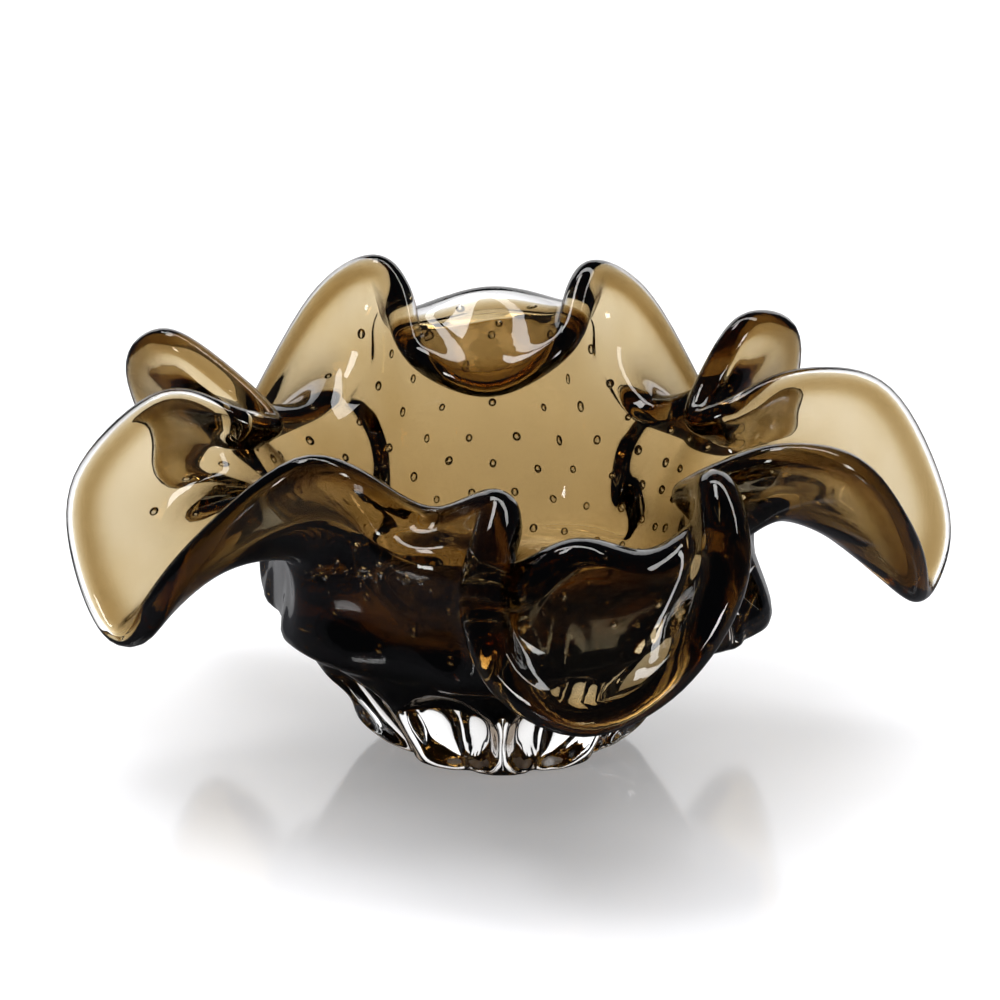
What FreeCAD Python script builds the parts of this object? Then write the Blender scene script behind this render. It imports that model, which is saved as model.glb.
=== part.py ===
import FreeCAD, Part
import math
import os

# Free-form art glass bowl, about 300 mm wide, resting on a small flat foot.
# It is hot glass worked in layers: an amber gather lines the inside, a clear casing wraps the amber
# and turns over the lip, and a heavy clear base gather with pressed dimples carries both.
# The wall is drawn out into five drooping lobes with five folds curled inward between them.
# Lengths are in millimetres and angles in degrees, +Z is up, and the origin is the centre of the foot.

doc = FreeCAD.newDocument("glass_bowl")
os.makedirs("parts", exist_ok=True)

# ---------------------------------------------------------------- driving dimensions
SIZES = [
    ("LipHalfThickness", 5.2),
    ("BodyRadius", 65.0),
    ("BodyHeight", 57.0),
    ("BodyLean", 70.0),
    ("InnerHalfWall", 6.0),
    ("OuterHalfWall", 13.5),
    ("CasingAtRim", 7.0),
    ("CasingAtBody", 11.5),
    ("FloorRadius", 16.0),
    ("FloorHeight", 48.0),
    ("AmberFootRadius", 12.0),
    ("AmberFootHeight", 33.0),
    ("SeatRadius", 20.0),
    ("SeatHeight", 25.0),
    ("FootRadius", 28.0),
    ("SeamRadius", 73.0),
    ("SeamHeight", 46.0),
    ("BellyBulge", 7.0),
    ("BellyHeight", 60.0),
    ("BellyWidth", 9.0),
    ("KnobBulge", 22.0),
    ("KnobAzimuth", 350.0),
    ("KnobWidth", 16.0),
    ("KnobHeight", 63.0),
    ("KnobRise", 16.0),
    ("DimpleCount", 10),
    ("DimpleDepth", 9.0),
    ("DimpleHeight", 21.0),
    ("DimpleHalfHeight", 19.0),
    ("OvalCount", 7),
    ("OvalAzimuth", 90.0),
    ("OvalDepth", 9.5),
    ("OvalHeight", 79.0),
    ("OvalHalfHeight", 27.0),
]

sheet = doc.addObject("Spreadsheet::Sheet", "Sizes")
for row, (alias, value) in enumerate(SIZES, start=1):
    sheet.set("A%d" % row, alias)
    sheet.set("B%d" % row, str(value))
    sheet.setAlias("B%d" % row, alias)
doc.recompute()


def size(alias):
    return float(sheet.get(alias))


# ---------------------------------------------------------------- lip line of the bowl
# Each row is one point of the lip: x, y, z of its crest, the pitch of the wall as it reaches the lip
# (0 is straight up, positive leans outward, negative curls inward, past 90 points down), the azimuth
# at which that strip of wall leaves the round body, how far it rises before it turns, how long its
# last stretch to the lip is, and how thick the lip is there against the usual lip.
LIP_POINTS = [
    # front left fold
    (-24, -44, 98, -70, 246, 56, 30, 1.0),
    # front lobe
    (1, -63, 114, -8, 261, 46, 34, 1.4),
    (-7, -92, 94, 24, 269, 60, 42, 1.5),
    (0, -113, 68, 55, 277, 86, 60, 1.3),
    (25, -124, 56, 140, 286, 92, 76, 1.15),
    (53, -113, 68, 55, 296, 86, 60, 1.3),
    (72, -90, 97, 24, 304, 60, 42, 1.5),
    (68, -62, 118, -8, 313, 46, 34, 1.3),
    # front right fold
    (61, -42, 109, -45, 319, 50, 30, 1.0),
    (56, -29, 102, -65, 325, 50, 30, 1.0),
    (69, -27, 109, -45, 330, 44, 30, 1.0),
    # right lobe
    (90, -39, 120, 0, 335, 40, 34, 1.0),
    (118, -36, 113, 20, 342, 58, 40, 1.1),
    (140, -16, 76, 60, 351, 72, 52, 1.1),
    (146, 5, 49, 140, 360, 80, 66, 1.1),
    (155, 24, 72, 60, 368, 72, 54, 1.0),
    (134, 38, 115, 15, 377, 58, 42, 1.0),
    (100, 33, 122, -5, 384, 44, 36, 1.0),
    # rear right fold
    (78, 23, 114, -50, 388, 46, 32, 1.0),
    (63, 28, 106, -75, 391, 52, 32, 1.0),
    (68, 42, 116, -50, 395, 50, 32, 1.0),
    # rear right lobe
    (84, 54, 136, 0, 400, 50, 38, 1.0),
    (105, 76, 121, 25, 406, 64, 46, 1.0),
    (92, 106, 56, 140, 413, 88, 80, 1.0),
    (56, 108, 123, 20, 422, 68, 48, 1.0),
    (35, 93, 144, -5, 430, 62, 38, 1.1),
    # rear fold
    (27, 78, 138, -80, 437, 94, 44, 1.1),
    (23, 59, 121, -120, 446, 108, 58, 1.0),
    (-4, 49, 107, -130, 455, 96, 62, 1.0),
    (-31, 59, 117, -120, 464, 100, 58, 1.0),
    (-35, 80, 136, -75, 471, 88, 44, 1.1),
    # rear left lobe
    (-47, 93, 146, -5, 480, 60, 38, 1.1),
    (-71, 107, 124, 20, 489, 68, 48, 1.0),
    (-110, 96, 56, 140, 499, 88, 80, 1.0),
    (-131, 64, 112, 25, 508, 66, 46, 1.0),
    (-116, 44, 134, 0, 516, 52, 38, 1.0),
    # left fold
    (-90, 36, 119, -50, 521, 50, 32, 1.0),
    (-74, 24, 106, -80, 525, 52, 32, 1.0),
    (-88, 11, 114, -50, 529, 46, 32, 1.0),
    # left lobe
    (-114, 9, 123, 0, 534, 46, 36, 1.0),
    (-143, -8, 98, 25, 542, 58, 42, 1.1),
    (-140, -28, 68, 60, 549, 70, 50, 1.1),
    (-126, -40, 50, 140, 556, 78, 60, 1.1),
    (-104, -58, 88, 35, 569, 64, 44, 1.0),
    (-60, -68, 128, 0, 587, 46, 36, 1.0),
]
X, Y, Z, PITCH, AZIMUTH, RISE, REACH, THICKNESS = range(8)

COLUMNS_PER_POINT = 3
PATCHES = 5
WALL_ROWS = 12
LOW_ROWS = 8
BASE_ROWS = 12
LIP_ROWS = 6
LIP_STEP = 36.0
LIP_NET_GAIN = 1.068


# ---------------------------------------------------------------- vectors and curves
def add(a, b):
    return (a[0] + b[0], a[1] + b[1], a[2] + b[2])


def sub(a, b):
    return (a[0] - b[0], a[1] - b[1], a[2] - b[2])


def mul(a, k):
    return (a[0] * k, a[1] * k, a[2] * k)


def dot(a, b):
    return a[0] * b[0] + a[1] * b[1] + a[2] * b[2]


def cross(a, b):
    return (a[1] * b[2] - a[2] * b[1], a[2] * b[0] - a[0] * b[2], a[0] * b[1] - a[1] * b[0])


def length(a):
    return math.sqrt(dot(a, a))


def unit(a):
    return mul(a, 1 / length(a))


def mix(a, b, k):
    return add(mul(a, 1 - k), mul(b, k))


def polar(azimuth, radius, height):
    angle = math.radians(azimuth)
    return (radius * math.cos(angle), radius * math.sin(angle), height)


def bezier(a, b, c, d, s):
    weights = ((1 - s) ** 3, 3 * s * (1 - s) ** 2, 3 * s * s * (1 - s), s ** 3)
    return tuple(sum(w * p[k] for w, p in zip(weights, (a, b, c, d))) for k in range(3))


def around(column, turn=0.0):
    """One column of the lip table as a smooth closed curve; turn is what it gains in a full round."""
    count = len(LIP_POINTS)
    values = []
    for i in range(count):
        p = [LIP_POINTS[(i + k) % count][column] + turn * ((i + k) // count) for k in (-1, 0, 1, 2)]
        for step in range(COLUMNS_PER_POINT):
            f = step / COLUMNS_PER_POINT
            slope = p[2] - p[0]
            square = 2 * p[0] - 5 * p[1] + 4 * p[2] - p[3]
            cube = 3 * p[1] - p[0] - 3 * p[2] + p[3]
            values.append(p[1] + 0.5 * (slope * f + square * f * f + cube * f ** 3))
    return values


def soften(ring, passes):
    """Even out a closed ring of points, as the hot wall does away from the lip."""
    for _ in range(passes):
        count = len(ring)
        ring = [mix(ring[i], mix(ring[i - 1], ring[(i + 1) % count], 0.5), 0.5) for i in range(count)]
    return ring


# ---------------------------------------------------------------- middle of the wall
BODY_SOFTENING = 12
LIP_SOFTENING = 8
ALONG_LIP = 0.9


def wall_strips():
    """Control net of the middle of the wall, plus what each strip needs to end in a round lip."""
    lip = list(zip(around(X), around(Y), around(Z)))
    pitch = around(PITCH)
    azimuth = around(AZIMUTH, 360.0)
    rise = around(RISE)
    reach = around(REACH)
    thickness = around(THICKNESS)
    count = len(lip)
    roots = []
    lower = []
    upper = []
    for i in range(count):
        radial = polar(azimuth[i], 1.0, 0.0)
        tangent = unit(sub(lip[(i + 1) % count], lip[i - 1]))
        outward = unit(add(radial, unit((lip[i][0], lip[i][1], 0.0))))
        lean = math.radians(pitch[i])
        heading = add(mul(outward, math.sin(lean)), (0.0, 0.0, math.cos(lean)))
        heading = unit(sub(heading, mul(tangent, ALONG_LIP * dot(heading, tangent))))
        root = polar(azimuth[i], size("BodyRadius"), size("BodyHeight"))
        climb = math.radians(size("BodyLean"))
        roots.append(root)
        lower.append(add(root, polar(azimuth[i], rise[i] * math.cos(climb), rise[i] * math.sin(climb))))
        upper.append(sub(lip[i], mul(heading, reach[i])))
    lower = soften(lower, BODY_SOFTENING)
    upper = soften(upper, LIP_SOFTENING)
    net = []
    ends = []
    for i in range(count):
        steps = range(WALL_ROWS + 1)
        net.append([bezier(roots[i], lower[i], upper[i], lip[i], j / WALL_ROWS) for j in steps])
        tangent = unit(sub(lip[(i + 1) % count], lip[i - 1]))
        heading = unit(sub(lip[i], upper[i]))
        lip_half = size("LipHalfThickness") * thickness[i]
        ends.append((lip[i], heading, unit(cross(heading, tangent)), azimuth[i], lip_half))
    return net, ends


def inward(net, i, j):
    """Unit normal of the middle surface at one point of its net, towards the inside of the bowl."""
    around_step = sub(net[(i + 1) % len(net)][j], net[i - 1][j])
    up_step = sub(net[i][j + 1], net[i][max(j - 1, 0)])
    return unit(cross(up_step, around_step))


# ---------------------------------------------------------------- skins of the glass layers
# The wall has thinned to its lip thickness once it has run 1 / SHEET_TAPER of its length.
SHEET_TAPER = 1.2
# The amber ends in a bead inside the lip: its back, as (onward, across) from the lip's centre, in lip
# half thicknesses.
AMBER_BEAD = ((-0.5, -0.45), (0.35, -0.6), (0.65, 0.35))
# Shares of a strip's span spent leaving its lower ring level and arriving at its upper end.
BOWL_FLAT, BOWL_STEEP = 0.5, 0.25
AMBER_FLAT, AMBER_STEEP = 0.42, 0.25
SEAT_FLAT, SEAT_STEEP = 0.42, 0.35
FOOT_FLAT, FOOT_STEEP = 0.4, 0.25
# Slopes, as (outward, up), of the foot and the seat at the seam, and of the press that makes the dimples.
FLARE = (0.75, 0.66)
SHELF = (0.9, 0.43)
PRESS = (-1.0, 0.7)
# Widths of a dimple and of an oval as shares of the room each has.
DIMPLE_SHARE = 0.92
OVAL_SHARE = 0.74
# Edge shape of both: 0.5 is a plain round hollow and less is steeper.
EDGE_POWER = 0.35
# How fast the swellings and the ovals of the casing fade on the way up the wall.
SWELL_FADE = 2.0
DENT_FADE = 0.5
# How far the casing's first row lies from the seam towards the belly.
SEAM_EASE = 0.45
FIRST_DIMPLED_ROW = 2


def oval(azimuth, count, share, level):
    """Depth share in one of a ring of oval presses: 1 in the middle, 0 at the edge and outside."""
    cell = 360.0 / count
    across = ((azimuth + cell / 2) % cell) / cell - 0.5
    inside = 1.0 - (2 * across / share) ** 2 - level ** 2
    return max(0.0, inside) ** EDGE_POWER


def bulges(azimuth, height, fade):
    """Outward swelling of the casing: the belly ring, the knob under the right lobe, the pressed ovals."""
    belly = size("BellyBulge") * math.exp(-((height - size("BellyHeight")) / size("BellyWidth")) ** 2)
    away = (azimuth - size("KnobAzimuth") + 180.0) % 360.0 - 180.0
    above = height - size("KnobHeight")
    knob_fall = (away / size("KnobWidth")) ** 2 + (above / size("KnobRise")) ** 2
    knob = size("KnobBulge") * math.exp(-knob_fall)
    level = (height - size("OvalHeight")) / size("OvalHalfHeight")
    turned = azimuth - size("OvalAzimuth")
    dent = size("OvalDepth") * oval(turned, size("OvalCount"), OVAL_SHARE, level)
    return (belly + knob) * fade ** SWELL_FADE - dent * fade ** DENT_FADE


def low_rows(azimuth, start, end, arrival, rows, flat, steep):
    """Rows of one strip from a level ring near the axis up to the body."""
    span = length(sub(end, start))
    after_start = add(start, polar(azimuth, span * flat, 0.0))
    before_end = sub(end, mul(arrival, span * steep))
    return [bezier(start, after_start, before_end, end, j / rows) for j in range(rows)]


def glass_skins():
    """Control nets of the five skins that bound the three layers of glass."""
    net, ends = wall_strips()
    skins = {"inside": [], "amber_back": [], "outside": [], "seat": [], "base": []}
    for i, (crest, heading, across, azimuth, lip_half) in enumerate(ends):
        lip_casing = size("CasingAtRim") * lip_half / size("LipHalfThickness")
        inner = []
        middle = []
        outer = []
        for j in range(WALL_ROWS):
            s = j / WALL_ROWS
            taper = min(1.0, s * SHEET_TAPER)
            point = net[i][j]
            normal = inward(net, i, j)
            half_in = size("InnerHalfWall") + (lip_half - size("InnerHalfWall")) * s
            half_out = size("OuterHalfWall") + (lip_half - size("OuterHalfWall")) * taper
            casing = size("CasingAtBody") + (lip_casing - size("CasingAtBody")) * taper
            inner.append(add(point, mul(normal, half_in)))
            middle.append(sub(point, mul(normal, half_out - casing)))
            outer.append(sub(point, mul(normal, half_out + bulges(azimuth, point[2], 1.0 - s))))
        centre = sub(crest, mul(heading, lip_half))
        edge = add(centre, mul(across, lip_half))
        inner.append(edge)
        for onward, sideways in AMBER_BEAD:
            bead = add(centre, mul(heading, onward * lip_half))
            middle.append(add(bead, mul(across, sideways * lip_half)))
        middle.append(edge)
        for k in range(LIP_ROWS - 1):
            angle = math.radians(-90.0 + LIP_STEP * k)
            swing = add(mul(heading, math.cos(angle)), mul(across, math.sin(angle)))
            outer.append(add(centre, mul(swing, lip_half * LIP_NET_GAIN)))
        outer.append(edge)

        climb = unit(sub(net[i][1], net[i][0]))
        seam = polar(azimuth, size("SeamRadius"), size("SeamHeight"))
        flare = unit(polar(azimuth, *FLARE))
        shelf = unit(polar(azimuth, *SHELF))
        push = unit(polar(azimuth, *PRESS))
        floor_ring = polar(azimuth, size("FloorRadius"), size("FloorHeight"))
        amber_ring = polar(azimuth, size("AmberFootRadius"), size("AmberFootHeight"))
        seat_ring = polar(azimuth, size("SeatRadius"), size("SeatHeight"))
        foot_ring = polar(azimuth, size("FootRadius"), 0.0)
        floor = low_rows(azimuth, floor_ring, inner[0], climb, LOW_ROWS, BOWL_FLAT, BOWL_STEEP)
        under = low_rows(azimuth, amber_ring, middle[0], climb, LOW_ROWS, AMBER_FLAT, AMBER_STEEP)
        seat = low_rows(azimuth, seat_ring, seam, shelf, LOW_ROWS, SEAT_FLAT, SEAT_STEEP)
        foot = low_rows(azimuth, foot_ring, seam, flare, BASE_ROWS, FOOT_FLAT, FOOT_STEEP)
        for j in range(FIRST_DIMPLED_ROW, BASE_ROWS):
            level = (foot[j][2] - size("DimpleHeight")) / size("DimpleHalfHeight")
            depth = size("DimpleDepth") * oval(azimuth, size("DimpleCount"), DIMPLE_SHARE, level)
            foot[j] = add(foot[j], mul(push, depth))
        skins["inside"].append(floor + inner)
        skins["amber_back"].append(under + middle)
        skins["outside"].append([seam, mix(seam, outer[0], SEAM_EASE)] + outer)
        skins["seat"].append(seat + [seam])
        skins["base"].append(foot + [seam])
    return skins


def skin_faces(net):
    """Smooth skin through a control net that closes on itself, as equal patches around the bowl."""
    columns = len(net)
    rows = len(net[0])
    poles = [[FreeCAD.Vector(*point) for point in column] for column in net]
    surface = Part.BSplineSurface()
    surface.buildFromPolesMultsKnots(
        poles,
        [1] * (columns + 1),
        [4] + [1] * (rows - 4) + [4],
        list(range(columns + 1)),
        list(range(rows - 2)),
        True,
        False,
        3,
        3,
    )
    width = columns // PATCHES
    patches = []
    for k in range(PATCHES):
        patch = surface.copy()
        patch.segment(k * width, (k + 1) * width, 0, rows - 3)
        patches.append(patch.toShape())
    return patches


def ring_cap(faces, height):
    """Flat disc that closes a skin at its level lower ring."""
    ring = []
    for edge in (edge for face in faces for edge in face.Edges):
        box = edge.BoundBox
        if abs(box.ZMax - height) < 1e-4 and abs(box.ZMin - height) < 1e-4:
            ring.append(edge)
    if len(ring) != len(faces):
        raise RuntimeError("no closed level ring at %s" % height)
    return Part.Face(Part.Wire(Part.__sortEdges__(ring)))


def layer(faces):
    """Solid bounded by the given skins and discs."""
    shell = Part.Shell(faces)
    shell.sewShape()
    solid = Part.Solid(Part.Shell(shell.Faces))
    if solid.Volume < 0:
        solid.reverse()
    return solid


# ---------------------------------------------------------------- the three layers of glass
skins = {name: skin_faces(net) for name, net in glass_skins().items()}
floor_disc = ring_cap(skins["inside"], size("FloorHeight"))
amber_disc = ring_cap(skins["amber_back"], size("AmberFootHeight"))
seat_disc = ring_cap(skins["seat"], size("SeatHeight"))
foot_disc = ring_cap(skins["base"], 0.0)

LAYERS = [
    ("amber_inner_gather", skins["inside"] + skins["amber_back"] + [floor_disc, amber_disc]),
    ("clear_outer_casing", skins["outside"] + skins["amber_back"] + skins["seat"] + [amber_disc, seat_disc]),
    ("clear_base_gather", skins["base"] + skins["seat"] + [foot_disc, seat_disc]),
]

for name, faces in LAYERS:
    feature = doc.addObject("Part::Feature", name)
    feature.Label = name
    feature.Shape = layer(faces)
    feature.Placement = FreeCAD.Placement()

doc.recompute()

for item in doc.Objects:
    if "Invalid" in item.State or "Error" in item.State:
        raise RuntimeError("%s is in a bad state" % item.Label)

for name, faces in LAYERS:
    shape = doc.getObject(name).Shape
    if shape.isNull() or not shape.isValid():
        raise RuntimeError("%s has a bad shape" % name)
    shape.exportStep(os.path.join("parts", name + ".step"))
    print(name, round(shape.Volume / 1000.0, 1), "cm3", shape.BoundBox, len(shape.Solids))
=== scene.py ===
import bmesh
import bpy
import math
import random
import numpy as np
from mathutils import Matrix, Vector


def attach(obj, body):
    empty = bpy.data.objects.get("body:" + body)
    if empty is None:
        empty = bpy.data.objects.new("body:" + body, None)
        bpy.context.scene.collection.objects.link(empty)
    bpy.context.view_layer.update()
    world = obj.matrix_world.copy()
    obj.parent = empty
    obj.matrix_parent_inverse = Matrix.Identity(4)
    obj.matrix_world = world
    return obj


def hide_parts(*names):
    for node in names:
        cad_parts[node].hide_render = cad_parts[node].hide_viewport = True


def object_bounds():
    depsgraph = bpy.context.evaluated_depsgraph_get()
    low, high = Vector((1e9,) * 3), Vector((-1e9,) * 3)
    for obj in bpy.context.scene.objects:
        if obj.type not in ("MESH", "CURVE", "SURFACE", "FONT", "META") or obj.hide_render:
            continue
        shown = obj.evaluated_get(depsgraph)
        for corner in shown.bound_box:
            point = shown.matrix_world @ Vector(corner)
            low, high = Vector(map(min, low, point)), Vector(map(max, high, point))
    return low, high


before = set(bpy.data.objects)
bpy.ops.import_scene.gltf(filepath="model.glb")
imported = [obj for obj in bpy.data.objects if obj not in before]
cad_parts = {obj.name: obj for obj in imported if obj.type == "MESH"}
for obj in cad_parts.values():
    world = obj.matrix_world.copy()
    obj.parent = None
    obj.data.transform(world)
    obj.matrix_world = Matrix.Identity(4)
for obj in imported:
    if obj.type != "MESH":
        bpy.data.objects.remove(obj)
cad_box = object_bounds()

MM = 0.001
scene = bpy.context.scene

# ---------------------------------------------------------------- sizes, as in the CAD model, in mm
LIP_HALF = 5.2
BODY_R = 65.0
BODY_Z = 57.0
BODY_LEAN = 70.0
INNER_HALF = 6.0
OUTER_HALF = 13.5
CASING_RIM = 7.0
CASING_BODY = 11.5
FLOOR_R, FLOOR_Z = 16.0, 48.0
AMBER_R, AMBER_Z = 12.0, 33.0
FOOT_R = 28.0
SEAM_R, SEAM_Z = 73.0, 46.0
BELLY, BELLY_Z, BELLY_W = 7.0, 60.0, 9.0
KNOB, KNOB_AZ, KNOB_W, KNOB_Z = 22.0, 350.0, 16.0, 63.0
KNOB_RISE = 16.0
AMBER_BEAD = ((-0.5, -0.45), (0.35, -0.6), (0.65, 0.35))
DIMPLES, DIMPLE_DEPTH, DIMPLE_Z, DIMPLE_H = 10, 9.0, 21.0, 19.0
OVALS, OVAL_DEPTH, OVAL_Z, OVAL_H = 7, 9.5, 79.0, 27.0
OVAL_AZ = 90.0
# Widths of a dimple and of an oval as shares of the room each has, and how steep their edges are.
DIMPLE_SHARE, OVAL_SHARE, EDGE_POWER = 0.92, 0.74, 0.35
# How fast the swellings and the ovals of the casing fade on the way up the wall.
SWELL_FADE, DENT_FADE = 2, 0.5
# The wall has thinned to its lip thickness once it has run 1 / SHEET_TAPER of its length.
SHEET_TAPER = 1.2
BODY_SOFTENING, LIP_SOFTENING = 12, 8
ALONG_LIP = 0.9
# The round lip: its rows, the angle between them, and how far its net stands outside the round.
LIP_ROWS, LIP_STEP, LIP_NET_GAIN = 6, 36.0, 1.068
# Slopes, as (outward, up), of the foot at the seam and of the press that makes the dimples.
FLARE = (0.75, 0.66)
PRESS = (-1.0, 0.7)
# Shares of a strip's span spent leaving its lower ring level and arriving at its upper end.
BOWL_FLAT, BOWL_STEEP = 0.5, 0.25
AMBER_FLAT, AMBER_STEEP = 0.42, 0.25
FOOT_FLAT, FOOT_STEEP = 0.4, 0.25
# How far the casing's first row lies from the seam towards the belly.
SEAM_EASE = 0.45
FIRST_DIMPLED_ROW = 2

# Points of the lip: x, y, z, pitch, azimuth at the body, rise, reach, thickness against the usual lip.
LIP_POINTS = [
    # front left fold
    (-24, -44, 98, -70, 246, 56, 30, 1.0),
    # front lobe
    (1, -63, 114, -8, 261, 46, 34, 1.4),
    (-7, -92, 94, 24, 269, 60, 42, 1.5),
    (0, -113, 68, 55, 277, 86, 60, 1.3),
    (25, -124, 56, 140, 286, 92, 76, 1.15),
    (53, -113, 68, 55, 296, 86, 60, 1.3),
    (72, -90, 97, 24, 304, 60, 42, 1.5),
    (68, -62, 118, -8, 313, 46, 34, 1.3),
    # front right fold
    (61, -42, 109, -45, 319, 50, 30, 1.0),
    (56, -29, 102, -65, 325, 50, 30, 1.0),
    (69, -27, 109, -45, 330, 44, 30, 1.0),
    # right lobe
    (90, -39, 120, 0, 335, 40, 34, 1.0),
    (118, -36, 113, 20, 342, 58, 40, 1.1),
    (140, -16, 76, 60, 351, 72, 52, 1.1),
    (146, 5, 49, 140, 360, 80, 66, 1.1),
    (155, 24, 72, 60, 368, 72, 54, 1.0),
    (134, 38, 115, 15, 377, 58, 42, 1.0),
    (100, 33, 122, -5, 384, 44, 36, 1.0),
    # rear right fold
    (78, 23, 114, -50, 388, 46, 32, 1.0),
    (63, 28, 106, -75, 391, 52, 32, 1.0),
    (68, 42, 116, -50, 395, 50, 32, 1.0),
    # rear right lobe
    (84, 54, 136, 0, 400, 50, 38, 1.0),
    (105, 76, 121, 25, 406, 64, 46, 1.0),
    (92, 106, 56, 140, 413, 88, 80, 1.0),
    (56, 108, 123, 20, 422, 68, 48, 1.0),
    (35, 93, 144, -5, 430, 62, 38, 1.1),
    # rear fold
    (27, 78, 138, -80, 437, 94, 44, 1.1),
    (23, 59, 121, -120, 446, 108, 58, 1.0),
    (-4, 49, 107, -130, 455, 96, 62, 1.0),
    (-31, 59, 117, -120, 464, 100, 58, 1.0),
    (-35, 80, 136, -75, 471, 88, 44, 1.1),
    # rear left lobe
    (-47, 93, 146, -5, 480, 60, 38, 1.1),
    (-71, 107, 124, 20, 489, 68, 48, 1.0),
    (-110, 96, 56, 140, 499, 88, 80, 1.0),
    (-131, 64, 112, 25, 508, 66, 46, 1.0),
    (-116, 44, 134, 0, 516, 52, 38, 1.0),
    # left fold
    (-90, 36, 119, -50, 521, 50, 32, 1.0),
    (-74, 24, 106, -80, 525, 52, 32, 1.0),
    (-88, 11, 114, -50, 529, 46, 32, 1.0),
    # left lobe
    (-114, 9, 123, 0, 534, 46, 36, 1.0),
    (-143, -8, 98, 25, 542, 58, 42, 1.1),
    (-140, -28, 68, 60, 549, 70, 50, 1.1),
    (-126, -40, 50, 140, 556, 78, 60, 1.1),
    (-104, -58, 88, 35, 569, 64, 44, 1.0),
    (-60, -68, 128, 0, 587, 46, 36, 1.0),
]
X, Y, Z, PITCH, AZIMUTH, RISE, REACH, THICKNESS = range(8)
UP = np.array((0.0, 0.0, 1.0))
COLUMNS_PER_POINT = 3
WALL_ROWS = 12
LOW_ROWS = 8
BASE_ROWS = 12

LIP_TABLE = np.array(LIP_POINTS, float)


def unit(a):
    return a / np.linalg.norm(a, axis=-1, keepdims=True)


def polar(azimuth, radius, height):
    angle = np.radians(azimuth)
    return np.stack([radius * np.cos(angle), radius * np.sin(angle), height + 0 * angle], -1)


def bezier(a, b, c, d, s):
    """Points at each s of s, as a new second axis."""
    s = np.asarray(s, float)[None, :, None]
    a, b, c, d = (p[:, None, :] for p in (a, b, c, d))
    return (1 - s) ** 3 * a + 3 * s * (1 - s) ** 2 * b + 3 * s * s * (1 - s) * c + s ** 3 * d


def around(column, turn=0.0):
    """One column of the lip table as a smooth closed curve; turn is what it gains in a full round."""
    v = LIP_TABLE[:, column]
    n = len(v)
    p = [np.array([v[(i + k) % n] + turn * ((i + k) // n) for i in range(n)]) for k in (-1, 0, 1, 2)]
    out = np.zeros((n, COLUMNS_PER_POINT))
    for step in range(COLUMNS_PER_POINT):
        f = step / COLUMNS_PER_POINT
        square = 2 * p[0] - 5 * p[1] + 4 * p[2] - p[3]
        cube = 3 * p[1] - p[0] - 3 * p[2] + p[3]
        out[:, step] = p[1] + 0.5 * ((p[2] - p[0]) * f + square * f * f + cube * f ** 3)
    return out.ravel()


def soften(ring, passes):
    """Even out a closed ring of points, as the hot wall does away from the lip."""
    for _ in range(passes):
        ring = 0.5 * ring + 0.25 * (np.roll(ring, 1, 0) + np.roll(ring, -1, 0))
    return ring


def wall_strips():
    """Control net of the middle of the wall, plus what each strip needs to end in a round lip."""
    lip = np.stack([around(X), around(Y), around(Z)], -1)
    pitch = np.radians(around(PITCH))[:, None]
    azimuth = around(AZIMUTH, 360.0)
    rise = around(RISE)[:, None]
    reach = around(REACH)[:, None]
    radial = polar(azimuth, 1.0, 0.0)
    tangent = unit(np.roll(lip, -1, 0) - np.roll(lip, 1, 0))
    outward = unit(radial + unit(lip * (1, 1, 0)))
    heading = outward * np.sin(pitch) + UP * np.cos(pitch)
    heading = unit(heading - tangent * ALONG_LIP * (heading * tangent).sum(1, keepdims=True))
    root = polar(azimuth, BODY_R, BODY_Z)
    climb = math.radians(BODY_LEAN)
    lower = root + radial * (rise * math.cos(climb)) + UP * (rise * math.sin(climb))
    upper = lip - heading * reach
    lower = soften(lower, BODY_SOFTENING)
    upper = soften(upper, LIP_SOFTENING)
    net = bezier(root, lower, upper, lip, np.arange(WALL_ROWS + 1) / WALL_ROWS)
    heading = unit(lip - upper)
    across = unit(np.cross(heading, tangent))
    return net, lip, heading, across, azimuth, LIP_HALF * around(THICKNESS)[:, None]


def oval(azimuth, count, share, level):
    """Depth share in one of a ring of oval presses: 1 in the middle, 0 at the edge and outside."""
    cell = 360.0 / count
    across = ((azimuth + cell / 2) % cell) / cell - 0.5
    inside = 1.0 - (2 * across / share) ** 2 - level ** 2
    return np.maximum(0.0, inside) ** EDGE_POWER


def bulges(azimuth, height, fade):
    """Outward swelling of the casing: the belly ring, the knob under the right lobe, the ovals."""
    belly = BELLY * np.exp(-((height - BELLY_Z) / BELLY_W) ** 2)
    away = (azimuth - KNOB_AZ + 180.0) % 360.0 - 180.0
    knob = KNOB * np.exp(-(away / KNOB_W) ** 2 - ((height - KNOB_Z) / KNOB_RISE) ** 2)
    dent = OVAL_DEPTH * oval(azimuth - OVAL_AZ, OVALS, OVAL_SHARE, (height - OVAL_Z) / OVAL_H)
    return (belly + knob) * fade ** SWELL_FADE - dent * fade ** DENT_FADE


def low_rows(azimuth, radius, height, end, arrival, rows, flat, steep):
    """Rows of each strip from a level ring near the axis up to the body."""
    start = polar(azimuth, radius, height)
    span = np.linalg.norm(end - start, axis=1, keepdims=True)
    after = start + polar(azimuth, 1.0, 0.0) * span * flat
    before = end - arrival * span * steep
    return bezier(start, after, before, end, np.arange(rows) / rows)


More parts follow.
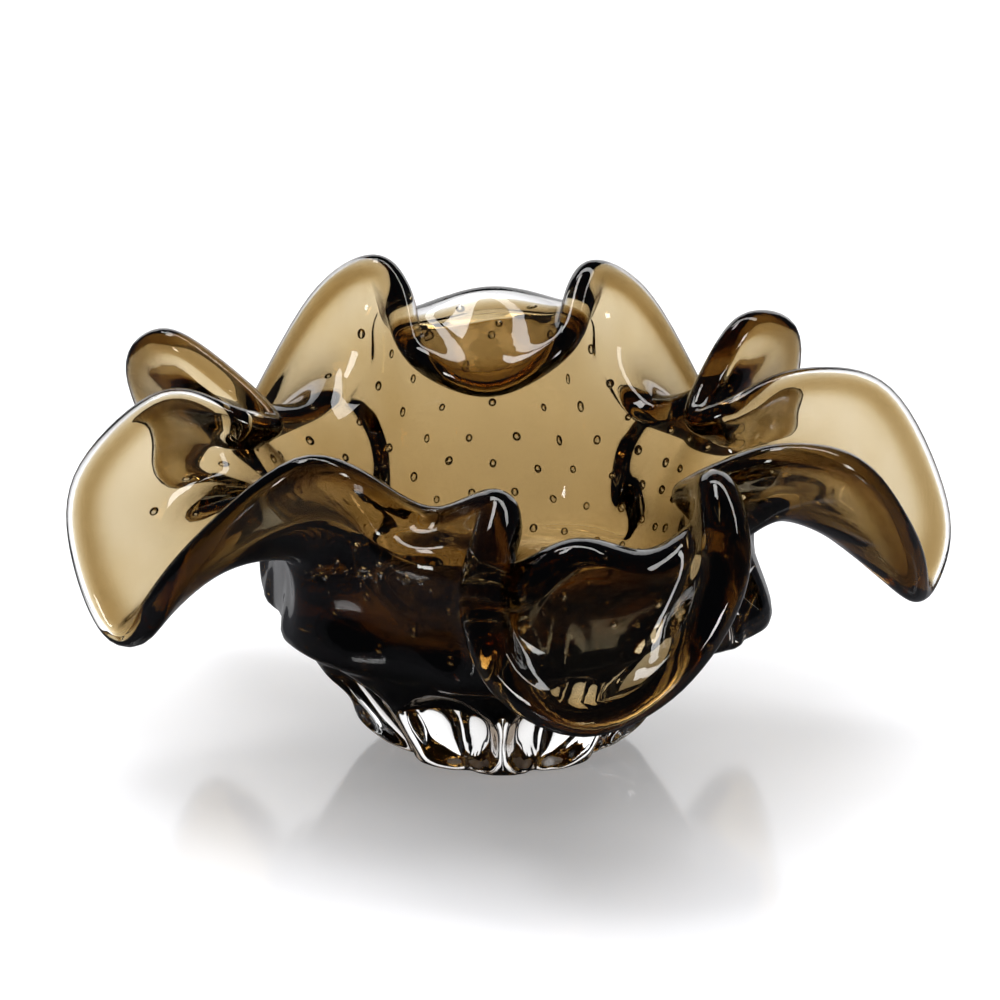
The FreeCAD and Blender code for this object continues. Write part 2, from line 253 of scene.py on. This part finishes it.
def glass_nets():
    """Control nets of the four skins that can be seen: inside, amber back, outside and base."""
    net, lip, heading, across, azimuth, lip_half = wall_strips()
    s = np.arange(WALL_ROWS) / WALL_ROWS
    around_step = np.roll(net, -1, 0) - np.roll(net, 1, 0)
    up_step = np.empty_like(net)
    up_step[:, 1:-1] = net[:, 2:] - net[:, :-2]
    up_step[:, 0] = net[:, 1] - net[:, 0]
    up_step[:, -1] = net[:, -1] - net[:, -2]
    normal = unit(np.cross(up_step, around_step))[:, :WALL_ROWS]
    point = net[:, :WALL_ROWS]
    taper = np.minimum(1.0, s * SHEET_TAPER)
    lip_casing = CASING_RIM / LIP_HALF * lip_half
    half_in = (INNER_HALF + (lip_half - INNER_HALF) * s)[:, :, None]
    half_out = (OUTER_HALF + (lip_half - OUTER_HALF) * taper)[:, :, None]
    casing = (CASING_BODY + (lip_casing - CASING_BODY) * taper)[:, :, None]
    swell = bulges(azimuth[:, None], point[:, :, 2], 1.0 - s[None, :])[:, :, None]
    inner = point + normal * half_in
    middle = point - normal * (half_out - casing)
    outer = point - normal * (half_out + swell)
    centre = lip - heading * lip_half
    edge = centre + across * lip_half
    bead = [centre + (heading * onward + across * sideways) * lip_half for onward, sideways in AMBER_BEAD]
    turn = []
    for k in range(LIP_ROWS - 1):
        angle = math.radians(-90.0 + LIP_STEP * k)
        swing = heading * math.cos(angle) + across * math.sin(angle)
        turn.append(centre + swing * lip_half * LIP_NET_GAIN)
    turn.append(edge)
    climb = unit(net[:, 1] - net[:, 0])
    seam = polar(azimuth, SEAM_R, SEAM_Z)
    flare = unit(polar(azimuth, *FLARE))
    floor = low_rows(azimuth, FLOOR_R, FLOOR_Z, inner[:, 0], climb, LOW_ROWS, BOWL_FLAT, BOWL_STEEP)
    under = low_rows(azimuth, AMBER_R, AMBER_Z, middle[:, 0], climb, LOW_ROWS, AMBER_FLAT, AMBER_STEEP)
    foot = low_rows(azimuth, FOOT_R, 0.0, seam, flare, BASE_ROWS, FOOT_FLAT, FOOT_STEEP)
    push = unit(polar(azimuth, *PRESS))
    rows = np.arange(FIRST_DIMPLED_ROW, BASE_ROWS)
    level = (foot[:, rows, 2] - DIMPLE_Z) / DIMPLE_H
    depth = DIMPLE_DEPTH * oval(azimuth[:, None], DIMPLES, DIMPLE_SHARE, level)
    foot[:, rows] += push[:, None, :] * depth[:, :, None]
    one = seam[:, None]
    eased = one * (1 - SEAM_EASE) + outer[:, :1] * SEAM_EASE
    return {
        "inside": np.concatenate([floor, inner, edge[:, None]], 1),
        "amber_back": np.concatenate([under, middle, np.stack(bead, 1), edge[:, None]], 1),
        "outside": np.concatenate([one, eased, outer, np.stack(turn, 1)], 1),
        "base": np.concatenate([foot, one], 1),
    }


# ---------------------------------------------------------------- smooth skins from the nets
def across_matrix(rows, fine):
    """Weights of a clamped cubic B-spline's rows at fine steps per span."""
    knots = np.concatenate([np.zeros(3), np.arange(rows - 2), np.full(3, rows - 3.0)])
    at = np.linspace(0, rows - 3, (rows - 3) * fine + 1)
    at[-1] -= 1e-9
    basis = ((knots[None, :-1] <= at[:, None]) & (at[:, None] < knots[None, 1:])).astype(float)
    for degree in (1, 2, 3):
        wide = []
        for i in range(basis.shape[1] - 1):
            left = knots[i + degree] - knots[i]
            right = knots[i + degree + 1] - knots[i + 1]
            part = np.zeros(len(at))
            if left > 0:
                part += (at - knots[i]) / left * basis[:, i]
            if right > 0:
                part += (knots[i + degree + 1] - at) / right * basis[:, i + 1]
            wide.append(part)
        basis = np.stack(wide, 1)
    return basis


def ring_matrix(columns, fine):
    """Weights of a closed cubic B-spline's columns at fine steps per span."""
    weights = np.zeros((columns * fine, columns))
    for r in range(columns * fine):
        i, f = divmod(r, fine)
        f /= fine
        before = (1 - f) ** 3
        here = 3 * f ** 3 - 6 * f ** 2 + 4
        after = -3 * f ** 3 + 3 * f * f + 3 * f + 1
        for k, w in enumerate((before, here, after, f ** 3)):
            weights[r, (i + k - 1) % columns] += w / 6
    return weights


def fine_grid(net, fine_ring, fine_rows):
    """Points of the smooth surface through a net, as a grid around the bowl and up the skin."""
    ring = ring_matrix(net.shape[0], fine_ring)
    rows = across_matrix(net.shape[1], fine_rows)
    return np.einsum("ui,ijk,vj->uvk", ring, net, rows)


DISC_RINGS = 6
WELD = 1e-6


def closed_mesh(name, skins):
    """One closed mesh from skins given as (grid, flipped, disc): disc caps the skin's first row."""
    verts = []
    faces = []
    start = 0
    for grid, flipped, disc in skins:
        nu, nv = grid.shape[:2]
        verts.append(grid.reshape(-1, 3))
        for i in range(nu):
            a = start + i * nv
            b = start + ((i + 1) % nu) * nv
            for j in range(nv - 1):
                quad = (a + j, b + j, b + j + 1, a + j + 1)
                faces.append(quad[::-1] if flipped else quad)
        start += nu * nv
        if disc:
            centre = grid[:, 0].mean(0)
            prev = [start - nu * nv + i * nv for i in range(nu)]
            for r in range(1, DISC_RINGS):
                k = 1 - r / DISC_RINGS
                verts.append(centre + (grid[:, 0] - centre) * k)
                cur = list(range(start, start + nu))
                for i in range(nu):
                    quad = (prev[i], cur[i], cur[(i + 1) % nu], prev[(i + 1) % nu])
                    faces.append(quad[::-1] if flipped else quad)
                prev = cur
                start += nu
            verts.append(centre[None])
            for i in range(nu):
                tri = (prev[i], start, prev[(i + 1) % nu])
                faces.append(tri[::-1] if flipped else tri)
            start += 1
    mesh = bpy.data.meshes.new(name)
    mesh.from_pydata((np.concatenate(verts) * MM).tolist(), [], faces)
    obj = bpy.data.objects.new(name, mesh)
    scene.collection.objects.link(obj)
    work = bmesh.new()
    work.from_mesh(mesh)
    bmesh.ops.remove_doubles(work, verts=work.verts, dist=WELD)
    bmesh.ops.recalc_face_normals(work, faces=work.faces)
    work.to_mesh(mesh)
    work.free()
    mesh.shade_smooth()
    return obj


nets = glass_nets()
FINE_ROUND = 3
FINE_UP = 4
inside = fine_grid(nets["inside"], FINE_ROUND, FINE_UP)
outside = fine_grid(nets["outside"], FINE_ROUND, FINE_UP)
base = fine_grid(nets["base"], FINE_ROUND, FINE_UP)
amber_back = fine_grid(nets["amber_back"], FINE_ROUND, FINE_UP)

body = closed_mesh("clear_glass_body", [(inside, False, True), (outside, True, False), (base, True, True)])


def shrunk(grid, depth):
    """The grid moved by depth along its own normal."""
    ring = np.roll(grid, -1, 0) - np.roll(grid, 1, 0)
    up = np.gradient(grid, axis=1)
    return grid + unit(np.cross(up, ring)) * depth


# The amber stops this far under the inside skin, so that the two never lie in one place.
SKIN_GAP = 0.25
amber_inside = shrunk(inside, -SKIN_GAP)
amber_inside[:, 0, 2] = FLOOR_Z - SKIN_GAP
amber_inside[:, -1] = amber_back[:, -1] = 0.5 * (amber_inside[:, -1] + amber_back[:, -2])
amber = closed_mesh("amber_lining", [(amber_inside, False, True), (amber_back, True, True)])

# ---------------------------------------------------------------- trapped bubbles, in mm
BUBBLE_STEP = 11.0
BUBBLE_FIRST = 16.0
BUBBLE_LIP_MARGIN = 15.0
BUBBLE_LEVELS = 14
BUBBLES_ROUND = 30
BUBBLE_STRAYING = 0.7
# Nearer the axis than this, every other bubble of a ring is left out.
WIDE_RADIUS = 44.0
BUBBLE_RADIUS = 1.6
BUBBLE_RINGS, BUBBLE_SEGMENTS = 7, 12
AMBER_ROWS = LOW_ROWS + WALL_ROWS
SEAM_ROWS = 2
# Fineness of the grids on which places for bubbles are looked up.
LATTICE_ROUND, STRAY_ROUND, SEARCH_UP = 8, 4, 6
# Small stray bubbles under the front left fold: azimuth and share of the way up the wall, each with
# its spread.
STRAY_AZIMUTH, AZIMUTH_SPREAD = 234.0, 8.5
STRAY_UP, UP_SPREAD = 0.30, 0.05
STRAY_COUNT = 34


def ball():
    """Unit ball as points and faces, poles last."""
    points = []
    for r in range(1, BUBBLE_RINGS):
        tilt = math.pi * r / BUBBLE_RINGS
        for q in range(BUBBLE_SEGMENTS):
            turn = 2 * math.pi * q / BUBBLE_SEGMENTS
            points.append((math.sin(tilt) * math.cos(turn), math.sin(tilt) * math.sin(turn), math.cos(tilt)))
    points += [(0, 0, 1), (0, 0, -1)]
    faces = []
    low = (BUBBLE_RINGS - 2) * BUBBLE_SEGMENTS
    for q in range(BUBBLE_SEGMENTS):
        after = (q + 1) % BUBBLE_SEGMENTS
        faces.append((len(points) - 2, q, after))
        faces.append((len(points) - 1, low + after, low + q))
        for r in range(BUBBLE_RINGS - 2):
            row = r * BUBBLE_SEGMENTS
            faces.append((row + q, row + BUBBLE_SEGMENTS + q, row + BUBBLE_SEGMENTS + after, row + after))
    return np.array(points), faces


def bubble_mesh(name, bubbles):
    """One mesh of many bubbles, each given as its centre and its three half axes."""
    points, faces = ball()
    verts = []
    all_faces = []
    for centre, axes in bubbles:
        first = len(verts) * len(points)
        verts.append(centre + points @ axes)
        all_faces += [tuple(first + k for k in face) for face in faces]
    mesh = bpy.data.meshes.new(name)
    mesh.from_pydata((np.concatenate(verts) * MM).tolist(), [], all_faces)
    mesh.shade_smooth()
    obj = bpy.data.objects.new(name, mesh)
    scene.collection.objects.link(obj)
    return obj


def wall_frame(grid, u, v):
    """Unit vectors around, up and across a sheet of glass at one point of its grid."""
    up = unit(grid[u, min(v + 1, grid.shape[1] - 1)] - grid[u, v - 1])
    ring = unit(grid[(u + 1) % grid.shape[0], v] - grid[u - 1, v])
    return ring, up, unit(np.cross(ring, up))


def lattice_bubbles():
    """Bubbles pressed into the amber in staggered rings, row by row up the wall."""
    middle = 0.5 * (nets["inside"][:, :AMBER_ROWS] + nets["amber_back"][:, :AMBER_ROWS])
    grid = fine_grid(middle, LATTICE_ROUND, SEARCH_UP)
    run = np.linalg.norm(np.diff(grid, axis=1), axis=2).cumsum(1)
    chance = random.Random(11)
    found = []
    for level in range(BUBBLE_LEVELS):
        along = BUBBLE_FIRST + level * BUBBLE_STEP
        for k in range(BUBBLES_ROUND):
            u = int((k + 0.5 * (level % 2)) / BUBBLES_ROUND * len(grid)) % len(grid)
            if along > run[u, -1] - BUBBLE_LIP_MARGIN:
                continue
            v = int(np.searchsorted(run[u], along + chance.uniform(-BUBBLE_STRAYING, BUBBLE_STRAYING))) + 1
            centre = grid[u, v]
            if math.hypot(centre[0], centre[1]) < WIDE_RADIUS and k % 2:
                continue
            ring, up, out = wall_frame(grid, u, v)
            radius = BUBBLE_RADIUS * chance.uniform(0.82, 1.08)
            long = chance.uniform(0.95, 1.2)
            found.append((centre, radius * np.stack([ring * 0.95, up * long, out * 0.9])))
    return found


def stray_bubbles():
    """A loose streak of small bubbles caught in the clear casing."""
    amber_side = fine_grid(nets["amber_back"][:, LOW_ROWS:AMBER_ROWS], STRAY_ROUND, SEARCH_UP)
    air_side = fine_grid(nets["outside"][:, SEAM_ROWS:SEAM_ROWS + WALL_ROWS], STRAY_ROUND, SEARCH_UP)
    sheet = 0.5 * (amber_side + air_side)
    azimuth = np.degrees(np.arctan2(sheet[:, 0, 1], sheet[:, 0, 0])) % 360.0
    chance = random.Random(5)
    found = []
    for _ in range(STRAY_COUNT):
        want = chance.gauss(STRAY_AZIMUTH, AZIMUTH_SPREAD)
        u = int(np.argmin(np.abs(azimuth - want)))
        v = max(1, int(sheet.shape[1] * chance.gauss(STRAY_UP, UP_SPREAD)))
        ring, up, out = wall_frame(sheet, u, v)
        radius = chance.uniform(0.35, 1.1)
        found.append((sheet[u, v], radius * np.stack([ring * chance.uniform(0.8, 1.6), up, out])))
    return found


air = bubble_mesh("trapped_air_bubbles", lattice_bubbles() + stray_bubbles())


# ---------------------------------------------------------------- materials
GLASS_IOR = 1.5
WHITE = (1, 1, 1, 1)


def new_material(name):
    """Empty material with only its output node."""
    material = bpy.data.materials.new(name)
    material.use_nodes = True
    tree = material.node_tree
    tree.nodes.clear()
    out = tree.nodes.new("ShaderNodeOutputMaterial")
    return material, tree, out


def noise(tree, scale, detail, roughness, stretch=(1.0, 1.0, 1.0)):
    """Noise over the object's own coordinates, in metres, stretched along its axes."""
    coordinates = tree.nodes.new("ShaderNodeTexCoord")
    mapping = tree.nodes.new("ShaderNodeMapping")
    mapping.inputs["Scale"].default_value = stretch
    texture = tree.nodes.new("ShaderNodeTexNoise")
    texture.inputs["Scale"].default_value = scale
    texture.inputs["Detail"].default_value = detail
    texture.inputs["Roughness"].default_value = roughness
    tree.links.new(coordinates.outputs["Object"], mapping.inputs["Vector"])
    tree.links.new(mapping.outputs["Vector"], texture.inputs["Vector"])
    return texture.outputs["Fac"]


def bump(tree, height, strength, distance, below=None):
    """Relief from a height, laid over the relief below it."""
    node = tree.nodes.new("ShaderNodeBump")
    node.inputs["Strength"].default_value = strength
    node.inputs["Distance"].default_value = distance
    tree.links.new(height, node.inputs["Height"])
    if below is not None:
        tree.links.new(below, node.inputs["Normal"])
    return node.outputs["Normal"]


def ramp(tree, value, low, high, start=0.0, end=1.0):
    """Blend from one colour to another as value goes from start to end."""
    node = tree.nodes.new("ShaderNodeValToRGB")
    node.color_ramp.elements[0].position = start
    node.color_ramp.elements[0].color = low
    node.color_ramp.elements[1].position = end
    node.color_ramp.elements[1].color = high
    tree.links.new(value, node.inputs["Fac"])
    return node.outputs["Color"]


def glass_surface(tree, ior, roughness):
    """Shader that lets all light through, without its colour."""
    glass = tree.nodes.new("ShaderNodeBsdfPrincipled")
    glass.inputs["Transmission Weight"].default_value = 1.0
    glass.inputs["Roughness"].default_value = roughness
    glass.inputs["IOR"].default_value = ior
    return glass


# Painted shade: a dark colour laid on the glass as it turns away from the eye, for the dark rims of the
# curled lips, and where between square on (0) and edge on (1) it starts and is full.
EDGE_PAINTED_SHADE = (0.06, 0.04, 0.025, 1)
EDGE_SHADE_RANGE = (0.25, 0.7)


def clear_glass():
    """Hand-worked clear glass: tooling ripples, cords, faint grey streaks, and painted shade that darkens it
    as it turns away.
    """
    material, tree, out = new_material("clear_glass")
    glass = glass_surface(tree, GLASS_IOR, 0.0)
    tone = noise(tree, 30.0, 3.0, 0.5, (1.0, 1.0, 0.4))
    streaks = ramp(tree, tone, (0.93, 0.935, 0.94, 1), WHITE, 0.3, 0.6)
    # Painted shade: the streaked colour is multiplied towards dark as the glass turns edge on.
    layer = tree.nodes.new("ShaderNodeLayerWeight")
    edge = ramp(tree, layer.outputs["Facing"], WHITE, EDGE_PAINTED_SHADE, *EDGE_SHADE_RANGE)
    tint = tree.nodes.new("ShaderNodeMix")
    tint.data_type = "RGBA"
    tint.blend_type = "MULTIPLY"
    tint.inputs["Factor"].default_value = 1.0
    tree.links.new(streaks, tint.inputs["A"])
    tree.links.new(edge, tint.inputs["B"])
    tree.links.new(tint.outputs["Result"], glass.inputs["Base Color"])
    ripples = bump(tree, noise(tree, 26.0, 2.0, 0.4, (1.0, 1.0, 0.45)), 0.35, 0.0016)
    cords = bump(tree, noise(tree, 110.0, 2.0, 0.5, (1.0, 1.0, 0.3)), 0.12, 0.0006, ripples)
    tree.links.new(cords, glass.inputs["Normal"])
    tree.links.new(glass.outputs[0], out.inputs["Surface"])
    return material


def amber_glass():
    """Smoky amber: nearly all its colour is in its depth, with faint streaks at its skin."""
    material, tree, out = new_material("amber_glass")
    glass = glass_surface(tree, 1.0, 0.0)
    streaks = noise(tree, 22.0, 5.0, 0.55, (1.0, 1.0, 0.35))
    tint = ramp(tree, streaks, (0.90, 0.84, 0.70, 1), WHITE, 0.36, 0.56)
    tree.links.new(tint, glass.inputs["Base Color"])
    tree.links.new(glass.outputs[0], out.inputs["Surface"])
    absorb = tree.nodes.new("ShaderNodeVolumeAbsorption")
    absorb.inputs["Color"].default_value = (0.535, 0.375, 0.01, 1.0)
    absorb.inputs["Density"].default_value = 350.0
    tree.links.new(absorb.outputs[0], out.inputs["Volume"])
    return material


def air_glass():
    """Skin of an air bubble inside the glass, slightly uneven."""
    material, tree, out = new_material("bubble_air")
    glass = tree.nodes.new("ShaderNodeBsdfGlass")
    glass.inputs["Roughness"].default_value = 0.0
    glass.inputs["IOR"].default_value = 1 / GLASS_IOR
    tree.links.new(bump(tree, noise(tree, 500.0, 2.0, 0.5), 0.2, 0.0002), glass.inputs["Normal"])
    tree.links.new(glass.outputs[0], out.inputs["Surface"])
    return material


def ground_glass():
    """Foot ground flat on the wheel: matt, with fine scratches."""
    material, tree, out = new_material("ground_glass")
    glass = glass_surface(tree, GLASS_IOR, 0.4)
    grain = noise(tree, 900.0, 4.0, 0.7, (1.0, 0.25, 1.0))
    matt = ramp(tree, grain, (0.35, 0.35, 0.35, 1), (0.55, 0.55, 0.55, 1))
    tree.links.new(matt, glass.inputs["Roughness"])
    tree.links.new(bump(tree, grain, 0.4, 0.0002), glass.inputs["Normal"])
    tree.links.new(glass.outputs[0], out.inputs["Surface"])
    return material


# Faces under this height, in metres, lie on the table.
FOOT_SKIN = 0.0002


def grind_foot(obj):
    """Give the faces that lie on the table the ground finish."""
    obj.data.materials.append(ground_glass())
    for face in obj.data.polygons:
        face.material_index = 1 if face.center.z < FOOT_SKIN else 0


body.data.materials.append(clear_glass())
grind_foot(body)
amber.data.materials.append(amber_glass())
air.data.materials.append(air_glass())

for piece in (body, amber, air):
    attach(piece, "root")
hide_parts("clear_outer_casing", "clear_base_gather")
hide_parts("amber_inner_gather")

# ---------------------------------------------------------------- table, light, camera
TABLE_HALF_X, TABLE_FRONT, TABLE_BACK = 0.45, -0.9, 1.7
TABLE_GAP = 0.0002
# The table top, and the dark colour painted on it for glossy reflections in the glass: painted shade in the
# bowl's reflections.
TABLE_WHITE = (0.8, 0.8, 0.82, 1)
TABLE_REFLECTION_SHADE = (0.10, 0.10, 0.11, 1)
TABLE_GLOW = 0.25


def table():
    """Glossy white table top that mirrors the backdrop, with painted shade that makes it darker in the
    bowl's reflections.
    """
    mesh = bpy.data.meshes.new("table_top")
    front = [(-TABLE_HALF_X, TABLE_FRONT, 0), (TABLE_HALF_X, TABLE_FRONT, 0)]
    back = [(TABLE_HALF_X, TABLE_BACK, 0), (-TABLE_HALF_X, TABLE_BACK, 0)]
    mesh.from_pydata(front + back, [], [(0, 1, 2, 3)])
    obj = bpy.data.objects.new("table_top", mesh)
    obj.location.z = cad_box[0][2] - TABLE_GAP
    scene.collection.objects.link(obj)
    material, tree, out = new_material("opal_table")
    paint = tree.nodes.new("ShaderNodeBsdfPrincipled")
    paint.inputs["Roughness"].default_value = 0.1
    paint.inputs["IOR"].default_value = GLASS_IOR
    paint.inputs["Emission Color"].default_value = WHITE
    path = tree.nodes.new("ShaderNodeLightPath")
    reflected = tree.nodes.new("ShaderNodeMath")
    reflected.operation = "SUBTRACT"
    reflected.use_clamp = True
    # Painted shade: glossy rays that are not transmission rays see the table dark instead of white.
    shade = tree.nodes.new("ShaderNodeMix")
    shade.data_type = "RGBA"
    shade.inputs["A"].default_value = TABLE_WHITE
    shade.inputs["B"].default_value = TABLE_REFLECTION_SHADE
    glow = tree.nodes.new("ShaderNodeMapRange")
    glow.inputs["To Min"].default_value = TABLE_GLOW
    glow.inputs["To Max"].default_value = 0.0
    tree.links.new(path.outputs["Is Glossy Ray"], reflected.inputs[0])
    tree.links.new(path.outputs["Is Transmission Ray"], reflected.inputs[1])
    tree.links.new(reflected.outputs[0], shade.inputs["Factor"])
    tree.links.new(reflected.outputs[0], glow.inputs["Value"])
    tree.links.new(shade.outputs["Result"], paint.inputs["Base Color"])
    tree.links.new(glow.outputs["Result"], paint.inputs["Emission Strength"])
    tree.links.new(paint.outputs[0], out.inputs["Surface"])
    mesh.materials.append(material)
    return obj


table()


def softbox(name, place, aim, width, height, power):
    """Rectangular light at one place, turned towards another; sizes in metres, power in watts."""
    light = bpy.data.lights.new(name, "AREA")
    light.shape = "RECTANGLE"
    light.size = width
    light.size_y = height
    light.energy = power
    obj = bpy.data.objects.new(name, light)
    obj.location = place
    obj.rotation_euler = (Vector(aim) - Vector(place)).to_track_quat("-Z", "Y").to_euler()
    scene.collection.objects.link(obj)
    return obj


softbox("backdrop", (0.0, 2.1, 0.8), (0, 0, 0.8), 3.0, 1.6, 23)
wash = softbox("table_wash", (0.0, 0.5, 2.4), (0, 0.3, 0.0), 3.6, 3.6, 70)
wash.visible_glossy = False
wash.visible_transmission = False
softbox("top_light", (-0.5, 0.3, 1.6), (0, 0, 0.05), 0.5, 0.35, 5)
softbox("overhead_strip", (0.2, 0.45, 1.5), (0, 0, 0.05), 2.4, 0.22, 11)
softbox("front_left_box", (-0.9, -1.1, 0.45), (0, 0, 0.08), 0.18, 0.3, 2.5)
softbox("front_right_box", (1.1, -0.7, 0.35), (0, 0, 0.08), 0.18, 0.3, 2.5)


def studio_room():
    """White where the camera sees past the table, and a dark room for every other ray."""
    world = bpy.data.worlds.new("studio_room")
    scene.world = world
    world.use_nodes = True
    tree = world.node_tree
    tree.nodes.clear()
    out = tree.nodes.new("ShaderNodeOutputWorld")
    white = tree.nodes.new("ShaderNodeBackground")
    white.inputs["Color"].default_value = WHITE
    white.inputs["Strength"].default_value = 1.0
    dark = tree.nodes.new("ShaderNodeBackground")
    dark.inputs["Color"].default_value = (0.8, 0.85, 1.0, 1)
    dark.inputs["Strength"].default_value = 0.04
    path = tree.nodes.new("ShaderNodeLightPath")
    mixer = tree.nodes.new("ShaderNodeMixShader")
    tree.links.new(path.outputs["Is Camera Ray"], mixer.inputs[0])
    tree.links.new(dark.outputs[0], mixer.inputs[1])
    tree.links.new(white.outputs[0], mixer.inputs[2])
    tree.links.new(mixer.outputs[0], out.inputs[0])


studio_room()

DOWN = math.radians(20.0)
DISTANCE = 1.1424
ASIDE = -0.0007
AIM_HEIGHT = 0.0864

camera = bpy.data.cameras.new("camera")
camera.sensor_width = 36.0
camera.lens = 122.4
view = bpy.data.objects.new("camera", camera)
view.location = (ASIDE, -DISTANCE * math.cos(DOWN), AIM_HEIGHT + DISTANCE * math.sin(DOWN))
view.rotation_euler = (math.pi / 2 - DOWN, 0, 0)
scene.collection.objects.link(view)
scene.camera = view

scene.view_settings.view_transform = "Standard"
scene.cycles.max_bounces = 32
scene.cycles.transmission_bounces = 28
scene.cycles.transparent_max_bounces = 16
scene.cycles.glossy_bounces = 8
